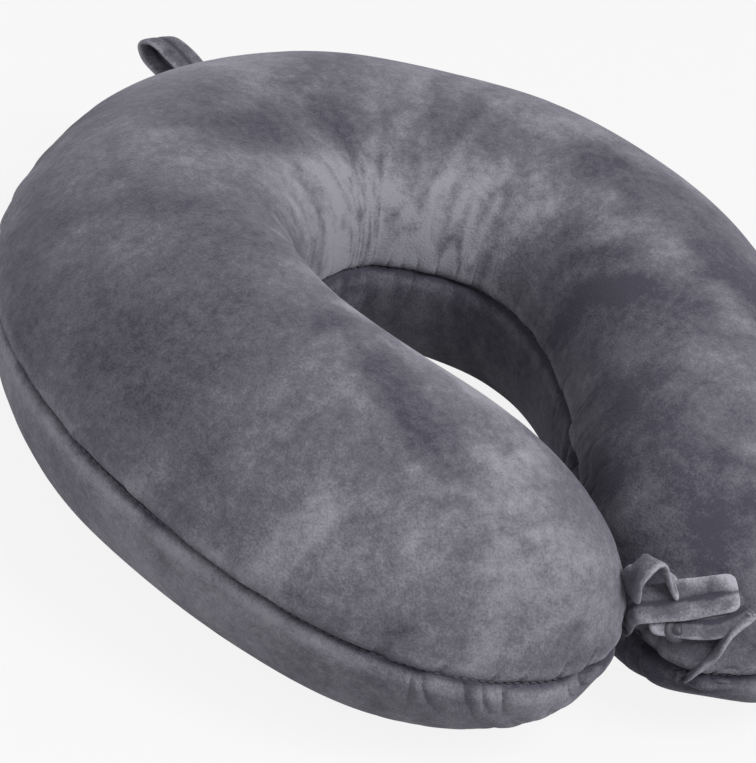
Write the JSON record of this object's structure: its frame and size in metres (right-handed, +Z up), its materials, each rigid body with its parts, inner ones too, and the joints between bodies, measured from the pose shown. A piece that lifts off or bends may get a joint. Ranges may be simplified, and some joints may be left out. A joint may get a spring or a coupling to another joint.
{
  "type": "u shaped neck pillow",
  "caption": "U shaped travel neck pillow with a moulded foam core, a zipped velour cover, a hanging loop at the back and a strap with a snap at each tip.",
  "frame": {"origin": "middle of the underside of the whole box, straps and loop included", "axes": "+Z up from the resting underside, +Y towards the middle of the back and its loop, the U opens towards -Y"},
  "size_m": [0.298, 0.361, 0.1075],
  "materials": {
    "velour": "short-pile velour, blue grey",
    "sleeve_cloth": "thin knitted cloth, charcoal",
    "foam": "open-cell memory foam, cream",
    "tape_cloth": "woven zip tape",
    "tooth_plastic": "moulded plastic",
    "zip_metal": "die-cast metal, satin"
  },
  "bodies": {
    "pillow": {"cover_top_panel": "velour", "cover_bottom_panel": "velour", "inner_sleeve_top": "sleeve_cloth", "inner_sleeve_bottom": "sleeve_cloth", "foam_core": "foam", "zip_tape_upper": "tape_cloth", "zip_tape_lower": "tape_cloth", "zip_teeth_upper": "tooth_plastic", "zip_teeth_lower": "tooth_plastic", "zip_top_stop_upper": "zip_metal", "zip_top_stop_lower": "zip_metal", "zip_bottom_stop": "zip_metal"},
    "left_strap": {"left_strap": "velour", "snap_socket": "zip_metal"},
    "right_strap": {"right_strap": "velour", "snap_stud": "zip_metal"},
    "back_loop": {"back_loop": "velour"},
    "zip_slider": {"zip_slider": "zip_metal"},
    "zip_puller": {"zip_puller": "zip_metal"}
  },
  "joints": [
    {"name": "left_strap_swing", "type": "hinge", "parent": "pillow", "child": "left_strap", "pos_m": [-0.00594, -0.14762, 0.03954], "axis": [0.9625, -0.2712, 0], "range_deg": [0, 16]},
    {"name": "right_strap_swing", "type": "hinge", "parent": "pillow", "child": "right_strap", "pos_m": [0.01457, -0.1648, 0.02965], "axis": [0.7952, -0.6054, -0.033], "range_deg": [0, 33]},
    {"name": "back_loop_swing", "type": "hinge", "parent": "pillow", "child": "back_loop", "pos_m": [-0.0012, 0.14605, 0.0567], "axis": [1, 0, 0], "range_deg": [-30, 30]},
    {"name": "zip_slider_travel", "type": "hinge", "parent": "pillow", "child": "zip_slider", "pos_m": [-0.0186, -0.01922, 0.05079], "axis": [-0.0091, -0.0336, 0.9994], "range_deg": [0, 20.3]},
    {"name": "zip_puller_swing", "type": "hinge", "parent": "zip_slider", "child": "zip_puller", "pos_m": [0.08838, 0.11422, 0.05616], "axis": [0, 0, -1], "range_deg": [0, 170]}
  ]
}
